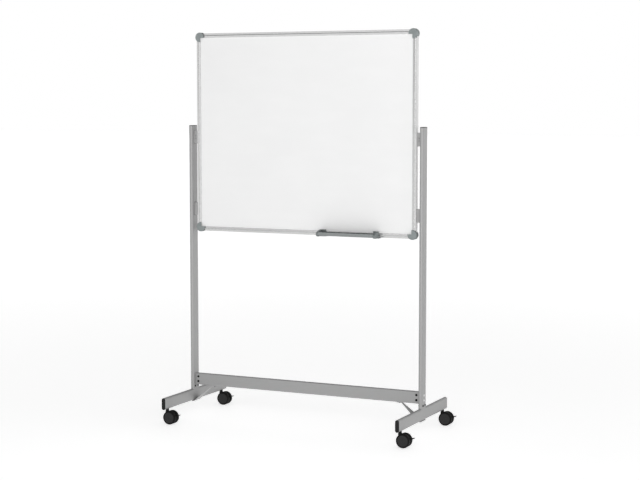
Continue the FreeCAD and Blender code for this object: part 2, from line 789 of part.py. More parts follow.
def pen_tray():
    """Open channel with a front lip, a floor and a back wall."""
    body = new_body("pen_tray_channel")
    outline = new_sketch(body, "YZ_Plane")
    front = "- tray_reach"
    rectangle(outline, front, "tray_floor", TRAY_BACK, "tray_lip_top")
    ends = "tray_end_thickness"
    solid = pad(body, outline, f"tray_length - 2 * {ends}", middle=True)
    round_edges(body, solid, "tray_round", is_low_front)
    trough = new_sketch(body, "YZ_Plane")
    polygon(trough, [
        (f"{front} + tray_wall", "tray_lip_top + 5"),
        (f"{front} + tray_wall", "tray_floor + tray_round"),
        (f"{front} + tray_round", "tray_floor + tray_wall"),
        (f"{TRAY_BACK} - tray_wall", "tray_floor + tray_wall"),
        (f"{TRAY_BACK} - tray_wall", "tray_lip_top + 5"),
    ])
    pocket(body, trough, "tray_length", middle=True)
    place(body, ("tray_centre", "0", "0"))
    return keep(body, "pen_tray")


def tray_end(label, side):
    """End plate of the tray with the hook that holds and guides it on the bottom rail."""
    body = new_body(f"{label}_plate")
    outline = new_sketch(body, "YZ_Plane")
    polygon(outline, [
        (TRAY_BACK, "tray_end_bottom"),
        (TRAY_BACK, "tray_end_top"),
        ("- board_front - hook_play - 14", "tray_end_top"),
        ("- board_front - hook_play - 32", "tray_end_top - 3"),
        ("- tray_reach + 9", "tray_end_top - 8"),
        ("- tray_reach - 1", "tray_end_top - 14"),
        ("- tray_reach - 2", "tray_end_bottom + 8"),
        ("- tray_reach + 2", "tray_end_bottom + 2"),
        ("- tray_reach + 9", "tray_end_bottom"),
    ])
    inward = side > 0
    pad(body, outline, "tray_end_thickness", backward=inward)
    hook = new_sketch(body, "YZ_Plane")
    rear = f"{BOARD_BACK} + hook_play"
    under = "board_bottom - hook_play"
    polygon(hook, [
        (TRAY_BACK, f"{under} - hook_thickness"),
        (f"{rear} + hook_thickness", f"{under} - hook_thickness"),
        (f"{rear} + hook_thickness", f"{under} + hook_rise"),
        (rear, f"{under} + hook_rise"),
        (rear, under),
        ("- board_front - hook_play", under),
        ("- board_front - hook_play", "tray_end_top"),
        (TRAY_BACK, "tray_end_top"),
    ])
    pad(body, hook, "hook_width", backward=inward)
    place(body, (f"tray_centre + {side} * tray_length / 2", "0", "0"))
    return keep(body, label)


# Castors ----------------------------------------------------------------------------------------------------

CASTORS = {
    "left_front": (-1, -1),
    "left_rear": (-1, 1),
    "right_front": (1, -1),
    "right_rear": (1, 1),
}


def castor_base(side, end):
    """The point on the floor under a castor's stem."""
    return (f"{side} * ( {UPRIGHT_X} )", f"{end} * ( {CASTOR_Y} )", "0")


def castor_sockets():
    """Blind bushes pressed into the feet, one for each castor stem."""
    sockets = []
    for side, end in CASTORS.values():
        flange = rod("socket_flange", ("0", "0", "foot_bottom - socket_flange"), "socket_flange_radius",
                     "socket_flange")
        barrel = rod("socket_barrel", ("0", "0", "foot_bottom"), "socket_radius", "socket_height")
        bore = rod("socket_bore", ("0", "0", "foot_bottom - 5"), "stem_radius + running_play",
                   "socket_height + 3")
        item = cut("castor_socket", fuse("socket_blank", [flange, barrel]), [bore])
        sockets.append(place(item, castor_base(side, end)))
    return group("castor_sockets", sockets)


def castor_housing(label, side, end):
    """Middle plate of a twin-wheel castor with the stem's neck and a slot for the brake lever."""
    body = new_body(f"{label}_body")
    plate = new_sketch(body, "XZ_Plane")
    circle(plate, "housing_radius", "castor_trail", "wheel_radius")
    pad(body, plate, "housing_width", middle=True)
    web = new_sketch(body, "XZ_Plane")
    rectangle(web, "- neck_radius", "wheel_radius", "castor_trail", "neck_bottom")
    pad(body, web, "housing_width", middle=True)
    neck = new_sketch(body, "XY_Plane", "neck_bottom - 0.5")
    circle(neck, "neck_radius")
    pad(body, neck, "neck_top - neck_bottom + 0.5")
    wedge = new_sketch(body, "XZ_Plane")
    polygon(wedge, [
        ("lever_pivot_out - 7", "lever_pivot_up - 10"),
        ("castor_trail + wheel_radius + 2", "lever_pivot_up - 16"),
        ("castor_trail + wheel_radius + 2", "lever_pivot_up + 12"),
        ("lever_pivot_out - 7", "lever_pivot_up + 12"),
    ])
    pocket(body, wedge, "lever_slot", middle=True)
    cutters = [
        rod(f"{label}_stem_hole", ("0", "0", "neck_bottom"), "stem_radius", "20"),
        rod(f"{label}_tail_hole", ("0", "0", "stem_tail_bottom"), "stem_tail_radius", "20"),
        rod(f"{label}_axle_hole", ("castor_trail", "- 20", "wheel_radius"), "axle_radius", "40", ALONG_Y),
        rod(f"{label}_pin_hole", ("lever_pivot_out", "- 20", "lever_pivot_up"),
            "lever_pin_radius + running_play", "40", ALONG_Y),
    ]
    item = cut(label, body, cutters)
    place(item, castor_base(side, end))
    return keep(item, label)


def castor_pins(label, side, end):
    """The two steel pins pressed into the housing: the stem and the axle."""
    upper = rod(f"{label}_stem", ("0", "0", "neck_bottom"), "stem_radius",
                "foot_bottom + socket_height - 4 - neck_bottom")
    tail = rod(f"{label}_tail", ("0", "0", "stem_tail_bottom"), "stem_tail_radius",
               "neck_bottom - stem_tail_bottom")
    stem = place(fuse(f"{label}_stepped_stem", [upper, tail]), castor_base(side, end))
    half = "housing_width / 2 + wheel_gap + wheel_width - wheel_wall - running_play"
    base = castor_base(side, end)
    spot = (f"{base[0]} + castor_trail", f"{base[1]} - ( {half} )", "wheel_radius")
    axle = rod(f"{label}_axle", spot, "axle_radius", f"2 * ( {half} )", ALONG_Y)
    return group(label, [stem, axle])


def is_tread_rim(edge):
    """True for either full circle at the rim of a wheel's tread."""
    reach = edge.BoundBox.XLength / 2
    return len(edge.Vertexes) == 1 and abs(reach - number("wheel_radius")) < 0.01


def castor_wheel(label, side, end, facing):
    """One wheel of a pair: rounded tread, dished outer face, blind bore for the axle."""
    body = new_body(label)
    profile = new_sketch(body, "XY_Plane")
    inner = "housing_width / 2 + wheel_gap"
    outer = f"{inner} + wheel_width"
    bore = "axle_radius + running_play"
    polygon(profile, [
        (bore, inner),
        ("wheel_radius", inner),
        ("wheel_radius", outer),
        ("dish_outer", outer),
        ("dish_outer - dish_depth", f"{outer} - dish_depth"),
        ("dish_hub + dish_depth", f"{outer} - dish_depth"),
        ("dish_hub", outer),
        ("0", outer),
        ("0", f"{outer} - wheel_wall"),
        (bore, f"{outer} - wheel_wall"),
    ])
    wheel = body.newObject("PartDesign::Revolution", f"{label}_turned")
    wheel.Profile = profile
    wheel.ReferenceAxis = (profile, ["V_Axis"])
    wheel.Angle = 360
    doc.recompute()
    round_edges(body, wheel, "wheel_round", is_tread_rim)
    base = castor_base(side, end)
    place(body, (f"{base[0]} + castor_trail", base[1], "wheel_radius"), (0, 0, 1), 0 if facing > 0 else 180)
    return keep(body, label)


def brake_lever(label, side, end):
    """Pedal on a thin arm, with a moulded pin that turns in the housing's cheeks."""
    body = new_body(label)
    arm = new_sketch(body, "XZ_Plane")
    out = "lever_pivot_out"
    up = "lever_pivot_up"
    polygon(arm, [
        (f"{out} - 4", f"{up} - 3"),
        (f"{out}", f"{up} - 4.5"),
        (f"{out} + arm_reach", f"{up} - 3.5"),
        (f"{out} + arm_reach", f"{up} + 2.5"),
        (f"{out}", f"{up} + 4.5"),
        (f"{out} - 4", f"{up} + 3"),
    ])
    pad(body, arm, "lever_thickness", middle=True)
    pin = new_sketch(body, "XZ_Plane")
    circle(pin, "lever_pin_radius", out, up)
    pad(body, pin, "housing_width", middle=True)
    pedal = new_sketch(body, "XZ_Plane")
    polygon(pedal, [
        (f"{out} + pedal_start", f"{up} - 3.5"),
        (f"{out} + pedal_reach", f"{up} + 1"),
        (f"{out} + pedal_reach", f"{up} + 4"),
        (f"{out} + pedal_start", f"{up} + 2.5"),
    ])
    pad(body, pedal, "pedal_width", middle=True)
    place(body, castor_base(side, end))
    return keep(body, label)


# Assembly ---------------------------------------------------------------------------------------------------

def build():
    """Every sub-part of the whiteboard."""
    for name, side, turn in (("left", -1, 180), ("right", 1, 0)):
        upright(f"{name}_upright", side, turn)
        foot(f"{name}_foot", side)
        foot_spigot(f"{name}_foot_spigot", side)
        crossbar_insert(f"{name}_crossbar_insert", side)
        brace(f"{name}_brace", side)
    crossbar()
    tube_end_caps()
    for fasteners in (crossbar_bolts, crossbar_screws, foot_bolts, foot_nuts, column_bolts, brace_screws):
        fasteners()

    board_layer("writing_surface", PANEL_FRONT, "sheet_thickness")
    board_layer("board_core", f"{PANEL_FRONT} + sheet_thickness", "panel_thickness - 2 * sheet_thickness")
    board_layer("board_back", f"{PANEL_BACK} - sheet_thickness", "sheet_thickness")
    rail("bottom_rail", "board_width", [], ("0", "0", "board_bottom"), 0)
    rail("top_rail", "board_width", [], ("0", "0", BOARD_TOP), 180)
    rail("left_rail", "board_height", side_rail_studs(-1), ("- board_width / 2", "0", BOARD_MIDDLE), 90)
    rail("right_rail", "board_height", side_rail_studs(1), ("board_width / 2", "0", BOARD_MIDDLE), -90)
    for name, (side, level, up, turn) in CORNERS.items():
        corner_cap(f"{name}_corner", (f"{side} * board_width / 2", "0", level), turn)
    corner_screws()
    for name, (side, level, locked) in BRACKETS.items():
        board_bracket(name, side, level, locked)
    bracket_studs()
    bracket_set_screws()

    pen_tray()
    tray_end("pen_tray_left_end", -1)
    tray_end("pen_tray_right_end", 1)

    castor_sockets()
    for name, (side, end) in CASTORS.items():
        castor_housing(f"{name}_castor_housing", side, end)
        castor_pins(f"{name}_castor_pins", side, end)
        castor_wheel(f"{name}_castor_outer_wheel", side, end, end)
        castor_wheel(f"{name}_castor_inner_wheel", side, end, -end)
        brake_lever(f"{name}_brake_lever", side, end)
    doc.recompute()


def check():
    """Stop if any object failed or any sub-part is not a sound solid."""
    for item in doc.Objects:
        if {"Invalid", "Error"} & set(item.State):
            raise ValueError(f"{item.Label} failed: {item.State}")
    for item in sub_parts:
        shape = item.Shape
        if shape.isNull() or not shape.isValid() or not shape.Solids:
            raise ValueError(f"{item.Label} is not a sound solid")


def write():
    os.makedirs("parts", exist_ok=True)
    for item in sub_parts:
        item.Shape.exportStep(f"parts/{item.Label}.step")
        box_ = item.Shape.BoundBox
        print(f"{item.Label}: {len(item.Shape.Solids)} solid(s), "
              f"{box_.XLength:.1f} x {box_.YLength:.1f} x {box_.ZLength:.1f}")
    print(len(sub_parts), "sub-parts")


build()
check()
write()
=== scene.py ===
import json
import math

import bmesh
import bpy
from mathutils import Matrix, Vector


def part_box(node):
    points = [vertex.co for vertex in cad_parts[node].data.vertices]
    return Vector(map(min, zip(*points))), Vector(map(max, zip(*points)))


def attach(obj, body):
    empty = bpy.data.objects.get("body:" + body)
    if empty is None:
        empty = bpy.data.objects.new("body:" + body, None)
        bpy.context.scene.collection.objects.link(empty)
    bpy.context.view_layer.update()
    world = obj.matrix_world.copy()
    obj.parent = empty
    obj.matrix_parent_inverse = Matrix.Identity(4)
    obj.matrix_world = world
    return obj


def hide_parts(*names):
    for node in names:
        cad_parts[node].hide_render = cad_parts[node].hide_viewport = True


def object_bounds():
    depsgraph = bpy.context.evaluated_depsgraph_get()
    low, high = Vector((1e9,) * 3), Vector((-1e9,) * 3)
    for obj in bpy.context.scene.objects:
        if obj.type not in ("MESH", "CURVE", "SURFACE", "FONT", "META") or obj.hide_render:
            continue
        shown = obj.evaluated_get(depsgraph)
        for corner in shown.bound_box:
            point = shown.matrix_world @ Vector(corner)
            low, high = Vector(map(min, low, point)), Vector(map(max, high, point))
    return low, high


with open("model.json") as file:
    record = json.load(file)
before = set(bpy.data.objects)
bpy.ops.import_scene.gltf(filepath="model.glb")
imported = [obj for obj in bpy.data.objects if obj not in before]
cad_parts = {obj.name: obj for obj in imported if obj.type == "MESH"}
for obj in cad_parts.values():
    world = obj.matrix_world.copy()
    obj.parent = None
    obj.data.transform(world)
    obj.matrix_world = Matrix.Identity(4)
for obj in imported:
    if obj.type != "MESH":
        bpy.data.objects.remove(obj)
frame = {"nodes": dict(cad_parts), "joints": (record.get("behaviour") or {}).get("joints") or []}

# Rolling whiteboard. The scene is in metres; sizes named here are in millimetres and are scaled by MM.

CAD_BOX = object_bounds()
MIDDLE = (Vector(CAD_BOX[0]) + Vector(CAD_BOX[1])) / 2
MM = 0.001

# How finely round shapes are divided, the angles that separate smooth faces from edges, and the distances
# in metres below which points are joined.
WHEEL_STEPS = 96
SCREW_STEPS = 24
OVAL_STEPS = 13
CORNER_STEPS = 6
SEAM_ANGLE = math.radians(28)
BEVEL_ANGLE = math.radians(40)
ROUND_ANGLE = math.radians(25)
WELD_DISTANCE = 0.00001
DOUBLE_DISTANCE = 0.0000005

# Roundings on edges.
FINE_EDGE = 0.3
PLATE_EDGE = 0.4
HOUSING_EDGE = 0.8
MOULDED_EDGE = 0.9

# Frame rail: the groove's grip on the panel, the lips in front of and behind it, and the sloped edges.
RAIL_GRIP = 9.1
RAIL_FRONT_LIP = 6.95
RAIL_BACK_LIP = 4.95
RAIL_SLOPE = 8.5
RAIL_INNER_DROP = 4.5
RAIL_OUTER_DROP = 5.0

# Push-in cap: its lip outside the tube, the tube wall round its plug, the rim and ribs (inset, height),
# the step under the rim, and the chamfer on the plug's tip (inset, height).
CAP_LIP = 3.0
CAP_WALL = 1.65
CAP_RIBS = 4
CAP_RIM = ((0.0, 0.35), (0.0, 1.5), (0.35, 2.3), (1.0, 2.85), (1.8, 3.0), (2.6, 2.8), (3.2, 2.3),
           (3.6, 1.7), (4.4, 1.5))
CAP_RIB = ((0.5, -1.2), (0.0, -0.6), (0.0, 0.6), (0.5, 1.2))
CAP_EDGE = 0.25
PLUG_TIP = (0.8, 1.5)

# Castor wheel: bore, wall at the hub, rounded shoulder of the tread, and the disc in its outer side. The
# disc's gap, crown and hub are (out from the named radius, up from the wheel's outer face).
WHEEL_BORE = 4.05
WHEEL_WALL = 1.7
WHEEL_SHOULDER = 4.0
DISC_RADIUS = 27.0
DISC_GAP = ((1.6, 0.0), (1.1, -0.15), (0.8, -0.6), (0.6, -1.3), (0.0, -1.3))
DISC_CROWN = ((-0.2, -0.9), (-0.7, -0.45), (-1.5, -0.35), (-9.0, -0.55))
HUB_RADIUS = 8.8
DISC_HUB = ((1.2, -0.85), (0.0, -0.95), (-0.5, -0.6), (-0.9, -0.1), (-1.6, 0.0), (-5.6, 0.0),
            (-6.0, -0.35))
HUB_DISH = 0.4

# Brake lever, about its pin: side outlines (out, up) of the arm and pedal, and the ribs on the pedal.
ARM_OUTLINE = ((-4, -3), (0, -4.4), (8, -4.0), (16, -3.0), (16, 2.6), (8, 3.6), (0, 4.4), (-4, 3))
ARM_WIDTH = 3.8
ARM_ROUNDING = 0.6
PEDAL_OUTLINE = ((14.6, -3.2), (20.5, -1.6), (26.6, 1.2), (27.4, 2.4), (26.8, 3.3), (20.5, 2.2),
                 (14.6, 2.0))
PEDAL_WIDTH = 20.0
PEDAL_ROUNDING = 0.7
PEDAL_SLOPE = 0.11
RIB_OUTLINE = ((-0.6, -0.6), (0.6, -0.6), (0.45, 0.55), (-0.45, 0.55))
RIB_COUNT = 5
RIB_START = 16.2
RIB_PITCH = 2.3
RIB_WIDTH = 16.5
RIB_ROUNDING = 0.2
PIN_RADIUS = 2.0
PIN_HALF_LENGTH = 4.5
PIN_EDGE = 0.3

# Studio, in metres. The floor's glow goes from its near to its far value between two distances. The world's
# brightness rises from the left and falls towards overhead: start and end of the direction's part along the
# axis, then the brightness at each.
FLOOR_REACH = 60
FLOOR_DROP = 0.0005
FLOOR_WHITE = 0.93
FLOOR_GLOW = (0.62, 0.76)
FLOOR_FADE = (1.5, 9.0)
WORLD_ACROSS = (-0.95, -0.3, 0.1, 1.0)
WORLD_UP = (0.15, 0.75, 1.2, 0.15)
KEY_PLACE = (2.3, -5.2, 1.6)
KEY_SIZE = (2.4, 2.8)
KEY_POWER = 90
CAMERA_LENS = 87.6
CAMERA_YAW = math.radians(25.13)
CAMERA_PITCH = math.radians(5.15)
CAMERA_TARGET = Vector((0.0546, 0.0, 0.9302))
CAMERA_DISTANCE = 7.693
CAMERA_REACH = 200

# Nearly all values of a noise lie in NOISE_RANGE. POINTED_RANGE runs from a flat face to a crisp edge.
NOISE_RANGE = (0.3, 0.7)
POINTED_RANGE = (0.52, 0.60)
DISPLAY_GAMMA = 2.2
BRIGHTEST = 250


# Materials -----------------------------------------------------------------------------------------

def grey(level, tint=(1.0, 1.0, 1.0)):
    """A linear colour from a display level between 0 and 255, with an optional tint."""
    value = (level / 255) ** DISPLAY_GAMMA
    return tuple(value * part for part in tint) + (1.0,)


class Surface:
    """A procedural material: a base colour, a roughness and a bump, varied by noises."""

    def __init__(self, name, colour, roughness, metallic=0.0):
        self.material = bpy.data.materials.new(name)
        self.material.use_nodes = True
        self.tree = self.material.node_tree
        self.shader = self.tree.nodes["Principled BSDF"]
        self.shader.inputs["Metallic"].default_value = metallic
        self.place = self.add("ShaderNodeTexCoord").outputs["Object"]
        self.colour = self.add("ShaderNodeRGB").outputs[0]
        self.colour.default_value = colour
        self.roughness = self.add("ShaderNodeValue").outputs[0]
        self.roughness.default_value = roughness
        self.normal = None
        self.wire()

    def add(self, kind, **settings):
        """Add a shader node."""
        node = self.tree.nodes.new(kind)
        for key, value in settings.items():
            setattr(node, key, value)
        return node

    def wire(self):
        """Connect the current colour, roughness and bump to the shader."""
        self.tree.links.new(self.colour, self.shader.inputs["Base Color"])
        self.tree.links.new(self.roughness, self.shader.inputs["Roughness"])
        if self.normal:
            self.tree.links.new(self.normal, self.shader.inputs["Normal"])

    def noise(self, scale, detail=2.0, stretch=(1.0, 1.0, 1.0)):
        """A noise in metres: scale features per metre, stretched along the axes."""
        mapping = self.add("ShaderNodeMapping")
        mapping.inputs["Scale"].default_value = stretch
        texture = self.add("ShaderNodeTexNoise")
        texture.inputs["Scale"].default_value = scale
        texture.inputs["Detail"].default_value = detail
        self.tree.links.new(self.place, mapping.inputs["Vector"])
        self.tree.links.new(mapping.outputs["Vector"], texture.inputs["Vector"])
        return texture.outputs["Fac"]

    def cells(self, scale, randomness=1.0, feature="F1", output="Distance"):
        """A cell pattern, such as spangle or moulded grain."""
        texture = self.add("ShaderNodeTexVoronoi", feature=feature)
        texture.inputs["Scale"].default_value = scale
        texture.inputs["Randomness"].default_value = randomness
        self.tree.links.new(self.place, texture.inputs["Vector"])
        return texture.outputs[output]

    def span(self, value, low, high, start=0.0, end=1.0):
        """Map a value from start..end to low..high."""
        node = self.add("ShaderNodeMapRange")
        for key, number in (("From Min", start), ("From Max", end), ("To Min", low), ("To Max", high)):
            node.inputs[key].default_value = number
        self.tree.links.new(value, node.inputs["Value"])
        return node.outputs["Result"]

    def vary(self, noise, low, high):
        """Spread a noise's usual range over low..high."""
        return self.span(noise, low, high, *NOISE_RANGE)

    def shade(self, factor):
        """Multiply the colour by a factor near one."""
        node = self.add("ShaderNodeVectorMath", operation="SCALE")
        self.tree.links.new(self.colour, node.inputs["Vector"])
        self.tree.links.new(factor, node.inputs["Scale"])
        self.colour = node.outputs["Vector"]
        self.wire()
        return self

    def mix(self, factor, colour):
        """Blend another colour in where the factor is high."""
        node = self.add("ShaderNodeMix", data_type="RGBA")
        self.tree.links.new(factor, node.inputs[0])
        self.tree.links.new(self.colour, node.inputs[6])
        node.inputs[7].default_value = colour
        self.colour = node.outputs[2]
        self.wire()
        return self

    def rough(self, value):
        """Use a varying roughness."""
        self.roughness = value
        self.wire()
        return self

    def bump(self, height, distance, strength=1.0):
        """Add a relief, distance in millimetres."""
        node = self.add("ShaderNodeBump")
        node.inputs["Strength"].default_value = strength
        node.inputs["Distance"].default_value = distance * MM
        self.tree.links.new(height, node.inputs["Height"])
        if self.normal:
            self.tree.links.new(self.normal, node.inputs["Normal"])
        self.normal = node.outputs["Normal"]
        self.wire()
        return self

    def dull(self, level):
        """Lower the reflection of a soft dark plastic."""
        self.shader.inputs["Specular IOR Level"].default_value = level
        return self

    def worn_edges(self, colour, amount):
        """Rub convex edges lighter, unevenly."""
        pointed = self.add("ShaderNodeNewGeometry").outputs["Pointiness"]
        edge = self.span(pointed, 0.0, amount, *POINTED_RANGE)
        patchy = self.add("ShaderNodeMath", operation="MULTIPLY")
        self.tree.links.new(edge, patchy.inputs[0])
        self.tree.links.new(self.span(self.noise(60.0, 4.0), 0.3, 1.0, 0.35, 0.65), patchy.inputs[1])
        return self.mix(patchy.outputs[0], colour)


def powder_coat(name, level):
    """Satin silver-grey powder coat: orange peel, a faint cloudiness and fine metallic grain."""
    surface = Surface(name, grey(level), 0.42, 0.15)
    surface.shade(surface.vary(surface.noise(5.0, 3.0), 0.985, 1.015))
    surface.shade(surface.vary(surface.noise(2600.0, 2.0), 0.96, 1.04))
    surface.rough(surface.vary(surface.noise(90.0, 3.0), 0.42, 0.44))
    return surface.bump(surface.noise(900.0, 1.5), 0.05, 0.5).material


def anodised(name, level, along, tint=(1.0, 1.0, 1.0)):
    """Satin anodised extrusion with die lines along its length."""
    stretch = tuple(0.004 if letter == along else 1.0 for letter in "xyz")
    surface = Surface(name, grey(level, tint), 0.24, 0.8)
    surface.shade(surface.vary(surface.noise(1400.0, 3.0, stretch), 0.92, 1.08))
    surface.rough(surface.vary(surface.noise(300.0, 3.0, stretch), 0.20, 0.28))
    surface.bump(surface.noise(1800.0, 2.0, stretch), 0.02, 0.5)
    return surface.worn_edges(grey(min(level + 30, BRIGHTEST), tint), 0.3).material


def moulded(name, level, roughness, tint=(1.0, 1.0, 1.0), shine=0.5):
    """Moulded plastic with a fine spark-eroded grain and slightly polished edges."""
    surface = Surface(name, grey(level, tint), roughness).dull(shine)
    surface.shade(surface.vary(surface.noise(40.0, 3.0), 0.93, 1.07))
    surface.rough(surface.vary(surface.noise(120.0, 4.0), roughness - 0.07, roughness + 0.07))
    surface.bump(surface.cells(1500.0), 0.04, 0.4)
    return surface.worn_edges(grey(level + 22, tint), 0.4).material


def rubber_tread(name, level):
    """Dull hard tread with scuffs round it and a little floor dust."""
    surface = Surface(name, grey(level), 0.62).dull(0.12)
    surface.shade(surface.vary(surface.noise(70.0, 5.0), 0.85, 1.2))
    surface.mix(surface.span(surface.noise(25.0, 6.0), 0.0, 0.04, 0.55, 0.75), grey(120))
    surface.bump(surface.noise(700.0, 3.0), 0.05, 0.5)
    return surface.material


def enamel(name, level):
    """Glossy white enamelled steel: a slight waviness and very faint wiping marks."""
    surface = Surface(name, grey(level), 0.16)
    surface.shade(surface.vary(surface.noise(3.0, 4.0), 0.988, 1.01))
    wipe = surface.noise(5.0, 6.0, (1.0, 1.0, 3.5))
    surface.shade(surface.span(wipe, 0.992, 1.004, 0.45, 0.7))
    surface.rough(surface.span(wipe, 0.13, 0.24, 0.35, 0.7))
    surface.bump(surface.noise(60.0, 2.0), 0.05, 0.15)
    surface.shader.inputs["Coat Weight"].default_value = 0.3
    surface.shader.inputs["Coat Roughness"].default_value = 0.08
    return surface.material


def galvanised(name, level):
    """Zinc-coated sheet with crystal spangle."""
    surface = Surface(name, grey(level), 0.42, 0.85)
    spangle = surface.cells(110.0, output="Color")
    value = surface.add("ShaderNodeSeparateColor")
    surface.tree.links.new(spangle, value.inputs[0])
    surface.shade(surface.span(value.outputs[0], 0.92, 1.07))
    surface.rough(surface.span(value.outputs[1], 0.38, 0.50))
    return surface.bump(surface.noise(240.0, 3.0), 0.03, 0.4).material


def fibreboard(name):
    """Pressed wood fibre, seen only at the core's edges."""
    surface = Surface(name, (0.30, 0.21, 0.12, 1.0), 0.8)
    surface.shade(surface.vary(surface.noise(900.0, 5.0, (1.0, 1.0, 0.3)), 0.7, 1.25))
    return surface.bump(surface.noise(1300.0, 4.0), 0.15, 0.6).material


def plated(name, level, roughness):
    """Zinc or black-oxide steel with fine turning marks."""
    surface = Surface(name, grey(level), roughness, 0.75)
    surface.shade(surface.vary(surface.noise(500.0, 4.0), 0.85, 1.12))
    surface.rough(surface.vary(surface.noise(250.0, 3.0), roughness - 0.06, roughness + 0.1))
    return surface.bump(surface.noise(2500.0, 2.0), 0.01, 0.4).material


PAINT = powder_coat("silver_powder_coat", 153)
BRACKET_PAINT = powder_coat("bracket_powder_coat", 160)
RAIL_ALONG_X = anodised("anodised_rail_across", 196, "x")
RAIL_ALONG_Z = anodised("anodised_rail_upright", 196, "z")
TRAY_METAL = anodised("anodised_tray", 138, "x", (0.94, 1.0, 1.0))
CAST_ALLOY = anodised("sawn_alloy", 170, "y")
CORNER_PLASTIC = moulded("corner_grey_plastic", 136, 0.5, (0.90, 1.0, 1.0), 0.4)
TRAY_PLASTIC = moulded("tray_grey_plastic", 118, 0.5, (0.90, 1.0, 1.0), 0.4)
BLACK_PLASTIC = moulded("black_cap_plastic", 32, 0.45, shine=0.2)
CASTOR_PLASTIC = moulded("castor_black_plastic", 26, 0.4, shine=0.15)
DISC_PLASTIC = moulded("castor_disc_plastic", 46, 0.42, shine=0.15)
TREAD = rubber_tread("castor_tread", 22)
ENAMEL = enamel("white_enamel", 231)
BACK_SHEET = galvanised("galvanised_back", 190)
CORE = fibreboard("fibreboard_core")
BLACK_STEEL = plated("black_oxide_steel", 18, 0.42)
BRIGHT_STEEL = plated("bright_zinc_steel", 240, 0.3)


# Shapes --------------------------------------------------------------------------------------------

def dress(node, material, edge=0.0, segments=2):
    """Give a CAD node its material and, where it has crisp edges, a small rounding on them."""
    item = frame["nodes"][node]
    item.data.materials.clear()
    item.data.materials.append(material)
    if edge:
        weld = item.modifiers.new("weld", "WELD")
        weld.merge_threshold = WELD_DISTANCE
        bevel = item.modifiers.new("edge", "BEVEL")
        bevel.width = edge * MM
        bevel.segments = segments
        bevel.limit_method = "ANGLE"
        bevel.angle_limit = BEVEL_ANGLE
        bevel.harden_normals = True
    return item


def solids(node):
    """The low and high corner of each separate solid of a CAD node, left to right."""
    shape = bmesh.new()
    shape.from_mesh(frame["nodes"][node].data)
    bmesh.ops.remove_doubles(shape, verts=shape.verts, dist=WELD_DISTANCE)
    unseen = set(shape.verts)
    boxes = []
    while unseen:
        stack = [unseen.pop()]
        found = []
        while stack:
            vertex = stack.pop()
            found.append(vertex.co.copy())
            for edge in vertex.link_edges:
                other = edge.other_vert(vertex)
                if other in unseen:
                    unseen.discard(other)
                    stack.append(other)
        low = Vector(min(spot[axis] for spot in found) for axis in range(3))
        high = Vector(max(spot[axis] for spot in found) for axis in range(3))
        boxes.append((low, high))
    shape.free()
    return sorted(boxes, key=lambda pair: tuple(round(value, 4) for value in pair[0]))


def finish_mesh(shape, name, material, seam=SEAM_ANGLE):
    """Turn a bmesh into an object with smooth faces and crisp seams."""
    bmesh.ops.remove_doubles(shape, verts=shape.verts, dist=DOUBLE_DISTANCE)
    bmesh.ops.recalc_face_normals(shape, faces=shape.faces)
    mesh = bpy.data.meshes.new(name)
    shape.to_mesh(mesh)
    shape.free()
    for polygon in mesh.polygons:
        polygon.use_smooth = True
    mesh.set_sharp_from_angle(angle=seam)
    mesh.materials.append(material)
    item = bpy.data.objects.new(name, mesh)
    bpy.context.scene.collection.objects.link(item)
    return item


def turn_profile(shape, rings, steps, spot):
    """Add a turned solid to a bmesh and return its bands of faces.

    A ring is (radius, height, six-sided or not); spot places the axis +Z.
    """
    loops = []
    for radius, height, six_sided in rings:
        loop = []
        for step in range(steps):
            angle = 2 * math.pi * step / steps
            reach = radius
            if six_sided:
                reach *= math.cos(math.pi / 6) / math.cos(angle % (math.pi / 3) - math.pi / 6)
            point = Vector((reach * math.cos(angle), reach * math.sin(angle), height))
            loop.append(shape.verts.new(spot @ point))
        loops.append(loop)
    faces = []
    for low, high in zip(loops, loops[1:]):
        ring = []
        for step in range(steps):
            after = (step + 1) % steps
            ring.append(shape.faces.new((low[step], low[after], high[after], high[step])))
        faces.append(ring)
    return faces


def aim(direction, seat):
    """The place that puts +Z along a direction, from a seat point."""
    return Matrix.Translation(seat) @ Vector(direction).to_track_quat("Z", "Y").to_matrix().to_4x4()


def round_rings(pairs):
    """Rings for turn_profile that are all round."""
    return [(radius, height, False) for radius, height in pairs]


def socket_screw(radius, length, head):
    """Button-headed screw with a hexagon socket. Heights run down from the head's top."""
    shank = radius * 0.5
    rings = round_rings([
        (0, -length), (shank * 0.8, -length), (shank, shank * 0.3 - length), (shank, -head),
        (radius * 0.96, -head), (radius, -head * 0.90), (radius, -head * 0.72),
        (radius * 0.93, -head * 0.45), (radius * 0.78, -head * 0.18), (radius * 0.62, -head * 0.04),
        (radius * 0.56, 0),
    ])
    return rings + [(radius * 0.50, 0, True), (radius * 0.46, -head * 0.1, True),
                    (radius * 0.46, -head * 0.7, True), (0, -head * 0.7, True)]


def grub_screw(radius, length, head):
    """Headless screw with a hexagon socket of the given depth."""
    rings = round_rings([(0, -length), (radius * 0.7, -length), (radius, radius * 0.3 - length),
                         (radius, -radius * 0.15), (radius * 0.85, 0)])
    return rings + [(radius * 0.6, 0, True), (radius * 0.55, -head * 0.1, True),
                    (radius * 0.55, -head, True), (0, -head, True)]


def dome_nut(radius, length, head):
    """Hexagon nut with a domed cap, radius measured across its corners."""
    hexagon = [(0, 0), (0.97, 0), (1.0, 0.08), (1.0, 0.48), (0.90, 0.56)]
    dome = [(0.78, 0.58), (0.76, 0.70), (0.62, 0.88), (0.35, 0.98), (0, 1.0)]
    rings = [(radius * reach, length * (rise - 1), True) for reach, rise in hexagon]
    return rings + round_rings([(radius * reach, length * (rise - 1)) for reach, rise in dome])


